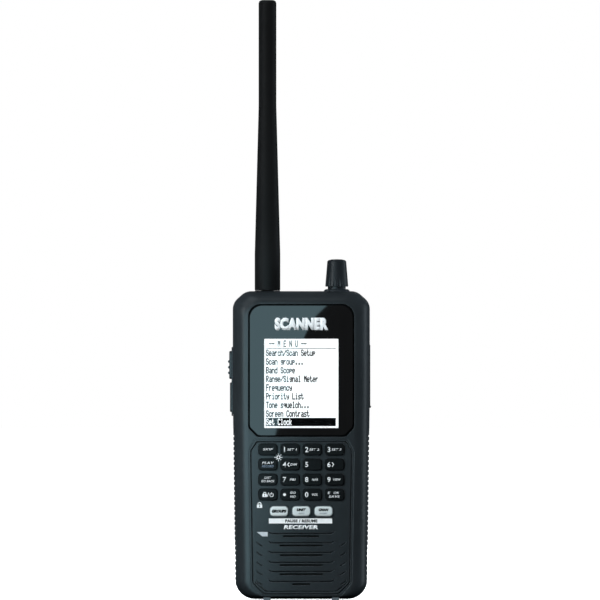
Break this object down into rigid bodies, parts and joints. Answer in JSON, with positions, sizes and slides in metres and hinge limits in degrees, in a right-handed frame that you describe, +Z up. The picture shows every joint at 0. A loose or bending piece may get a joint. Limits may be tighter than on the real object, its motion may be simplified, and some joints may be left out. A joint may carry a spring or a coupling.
{
  "type": "handheld radio scanner",
  "caption": "Upright handheld radio receiver: display, number keypad, side keys, rotary knob, screw-on whip aerial, port flap and battery cover.",
  "frame": {"origin": "on the case centreline, at mid depth, on the plane the feet stand on", "axes": "+Z up along the aerial, -Y out of the display, +X towards the knob side"},
  "size_m": [0.0693, 0.034, 0.2911],
  "materials": {
    "case_plastic": "fine-grained moulded plastic, dark blue-grey",
    "lens_gloss": "polished clear lens, black printed behind",
    "alert_white": "translucent white",
    "mat_rubber": "moulded silicone",
    "display_white": "backlit white display",
    "plated_steel": "tin plated",
    "circuit_board": "green solder mask",
    "chip_black": "moulded epoxy",
    "speaker_paper": "treated paper",
    "speaker_cloth": "woven dust cloth",
    "brass_plated": "machined, gold tone",
    "aerial_rubber": "smooth satin rubber",
    "foot_rubber": "matt grey rubber",
    "trim_plastic": "satin moulded plastic",
    "knob_plastic": "satin moulded plastic",
    "side_key_plastic": "satin moulded plastic",
    "port_rubber": "matt rubber",
    "cell_wrap": "printed sleeve, gloss",
    "screw_steel": "black zinc",
    "key_rubber": "satin hard-topped rubber",
    "soft_key_silver": "silver paint, satin"
  },
  "bodies": {
    "case": {"front_housing": "case_plastic", "rear_housing": "case_plastic", "display_lens": "lens_gloss", "lens_gasket": "mat_rubber", "alert_lens": "alert_white", "keypad_mat": "mat_rubber", "lcd_module": "display_white", "lcd_frame": "plated_steel", "display_board": "circuit_board", "main_board": "circuit_board", "rf_shield": "plated_steel", "board_chips": "chip_black", "usb_socket": "plated_steel", "card_socket": "plated_steel", "memory_card": "chip_black", "side_switches": "chip_black", "speaker_frame": "plated_steel", "speaker_cone": "speaker_paper", "speaker_mesh": "speaker_cloth", "antenna_connector": "brass_plated", "knob_collar": "trim_plastic", "encoder_body": "plated_steel", "headphone_jack": "trim_plastic", "side_key_bezel": "trim_plastic", "batteries": "cell_wrap", "battery_contacts": "plated_steel", "case_screws": "screw_steel", "board_screws": "screw_steel", "mount_inserts": "brass_plated", "feet": "foot_rubber"},
    "antenna_carrier": {"antenna_washer": "mat_rubber"},
    "antenna": {"antenna_whip": "aerial_rubber", "antenna_plug": "brass_plated"},
    "knob_rotor": {"encoder_rotor": "chip_black"},
    "knob": {"control_knob": "knob_plastic", "encoder_shaft": "plated_steel"},
    "function_key": {"function_key": "side_key_plastic"},
    "menu_key": {"menu_key": "side_key_plastic"},
    "port_cover": {"port_cover": "port_rubber"},
    "battery_cover": {"battery_cover": "case_plastic"},
    "key_skip": {"key_skip": "key_rubber"},
    "key_1": {"key_1": "key_rubber"},
    "key_2": {"key_2": "key_rubber"},
    "key_3": {"key_3": "key_rubber"},
    "key_replay": {"key_replay": "key_rubber"},
    "key_4": {"key_4": "key_rubber"},
    "key_5": {"key_5": "key_rubber"},
    "key_6": {"key_6": "key_rubber"},
    "key_list": {"key_list": "key_rubber"},
    "key_7": {"key_7": "key_rubber"},
    "key_8": {"key_8": "key_rubber"},
    "key_9": {"key_9": "key_rubber"},
    "key_power": {"key_power": "key_rubber"},
    "key_point": {"key_point": "key_rubber"},
    "key_0": {"key_0": "key_rubber"},
    "key_enter": {"key_enter": "key_rubber"},
    "soft_key_left": {"soft_key_left": "soft_key_silver"},
    "soft_key_middle": {"soft_key_middle": "soft_key_silver"},
    "soft_key_right": {"soft_key_right": "soft_key_silver"}
  },
  "joints": [
    {"name": "antenna_lift", "type": "slide", "parent": "case", "child": "antenna_carrier", "axis": [0, 0, 1], "range_m": [0, 0.0036]},
    {"name": "antenna_turn", "type": "hinge", "parent": "antenna_carrier", "child": "antenna", "pos_m": [-0.0164, 0, 0.151], "axis": [0, 0, 1], "range_deg": [0, 1800]},
    {"name": "knob_turn", "type": "hinge", "parent": "case", "child": "knob_rotor", "pos_m": [0.0172, 0, 0.144], "axis": [0, 0, 1], "continuous": true},
    {"name": "knob_push", "type": "slide", "parent": "knob_rotor", "child": "knob", "axis": [0, 0, -1], "range_m": [0, 0.0005], "stiffness_N_per_m": 2000, "springref_m": -0.0005},
    {"name": "function_key_press", "type": "slide", "parent": "case", "child": "function_key", "axis": [1, 0, 0], "range_m": [0, 0.0005], "stiffness_N_per_m": 2000, "springref_m": -0.0003},
    {"name": "menu_key_press", "type": "slide", "parent": "case", "child": "menu_key", "axis": [1, 0, 0], "range_m": [0, 0.0005], "stiffness_N_per_m": 2000, "springref_m": -0.0003},
    {"name": "port_cover_swing", "type": "hinge", "parent": "case", "child": "port_cover", "pos_m": [0.0332, 0.0005, 0.0939], "axis": [0, 1, 0], "range_deg": [0, 110]},
    {"name": "battery_cover_swing", "type": "hinge", "parent": "case", "child": "battery_cover", "pos_m": [0, 0.016, 0.0712], "axis": [1, 0, 0], "range_deg": [0, 60]},
    {"name": "key_skip_press", "type": "slide", "parent": "case", "child": "key_skip", "axis": [0, 1, 0], "range_m": [0, 0.0005], "stiffness_N_per_m": 1500, "springref_m": -0.0003},
    {"name": "key_1_press", "type": "slide", "parent": "case", "child": "key_1", "axis": [0, 1, 0], "range_m": [0, 0.0005], "stiffness_N_per_m": 1500, "springref_m": -0.0003},
    {"name": "key_2_press", "type": "slide", "parent": "case", "child": "key_2", "axis": [0, 1, 0], "range_m": [0, 0.0005], "stiffness_N_per_m": 1500, "springref_m": -0.0003},
    {"name": "key_3_press", "type": "slide", "parent": "case", "child": "key_3", "axis": [0, 1, 0], "range_m": [0, 0.0005], "stiffness_N_per_m": 1500, "springref_m": -0.0003},
    {"name": "key_replay_press", "type": "slide", "parent": "case", "child": "key_replay", "axis": [0, 1, 0], "range_m": [0, 0.0005], "stiffness_N_per_m": 1500, "springref_m": -0.0003},
    {"name": "key_4_press", "type": "slide", "parent": "case", "child": "key_4", "axis": [0, 1, 0], "range_m": [0, 0.0005], "stiffness_N_per_m": 1500, "springref_m": -0.0003},
    {"name": "key_5_press", "type": "slide", "parent": "case", "child": "key_5", "axis": [0, 1, 0], "range_m": [0, 0.0005], "stiffness_N_per_m": 1500, "springref_m": -0.0003},
    {"name": "key_6_press", "type": "slide", "parent": "case", "child": "key_6", "axis": [0, 1, 0], "range_m": [0, 0.0005], "stiffness_N_per_m": 1500, "springref_m": -0.0003},
    {"name": "key_list_press", "type": "slide", "parent": "case", "child": "key_list", "axis": [0, 1, 0], "range_m": [0, 0.0005], "stiffness_N_per_m": 1500, "springref_m": -0.0003},
    {"name": "key_7_press", "type": "slide", "parent": "case", "child": "key_7", "axis": [0, 1, 0], "range_m": [0, 0.0005], "stiffness_N_per_m": 1500, "springref_m": -0.0003},
    {"name": "key_8_press", "type": "slide", "parent": "case", "child": "key_8", "axis": [0, 1, 0], "range_m": [0, 0.0005], "stiffness_N_per_m": 1500, "springref_m": -0.0003},
    {"name": "key_9_press", "type": "slide", "parent": "case", "child": "key_9", "axis": [0, 1, 0], "range_m": [0, 0.0005], "stiffness_N_per_m": 1500, "springref_m": -0.0003},
    {"name": "key_power_press", "type": "slide", "parent": "case", "child": "key_power", "axis": [0, 1, 0], "range_m": [0, 0.0005], "stiffness_N_per_m": 1500, "springref_m": -0.0003},
    {"name": "key_point_press", "type": "slide", "parent": "case", "child": "key_point", "axis": [0, 1, 0], "range_m": [0, 0.0005], "stiffness_N_per_m": 1500, "springref_m": -0.0003},
    {"name": "key_0_press", "type": "slide", "parent": "case", "child": "key_0", "axis": [0, 1, 0], "range_m": [0, 0.0005], "stiffness_N_per_m": 1500, "springref_m": -0.0003},
    {"name": "key_enter_press", "type": "slide", "parent": "case", "child": "key_enter", "axis": [0, 1, 0], "range_m": [0, 0.0005], "stiffness_N_per_m": 1500, "springref_m": -0.0003},
    {"name": "soft_key_left_press", "type": "slide", "parent": "case", "child": "soft_key_left", "axis": [0, 1, 0], "range_m": [0, 0.0005], "stiffness_N_per_m": 1500, "springref_m": -0.0003},
    {"name": "soft_key_middle_press", "type": "slide", "parent": "case", "child": "soft_key_middle", "axis": [0, 1, 0], "range_m": [0, 0.0005], "stiffness_N_per_m": 1500, "springref_m": -0.0003},
    {"name": "soft_key_right_press", "type": "slide", "parent": "case", "child": "soft_key_right", "axis": [0, 1, 0], "range_m": [0, 0.0005], "stiffness_N_per_m": 1500, "springref_m": -0.0003}
  ],
  "couplings": [
    {"joint": "antenna_lift", "follows": "antenna_turn", "m_per_rad": 0.0001123}
  ]
}
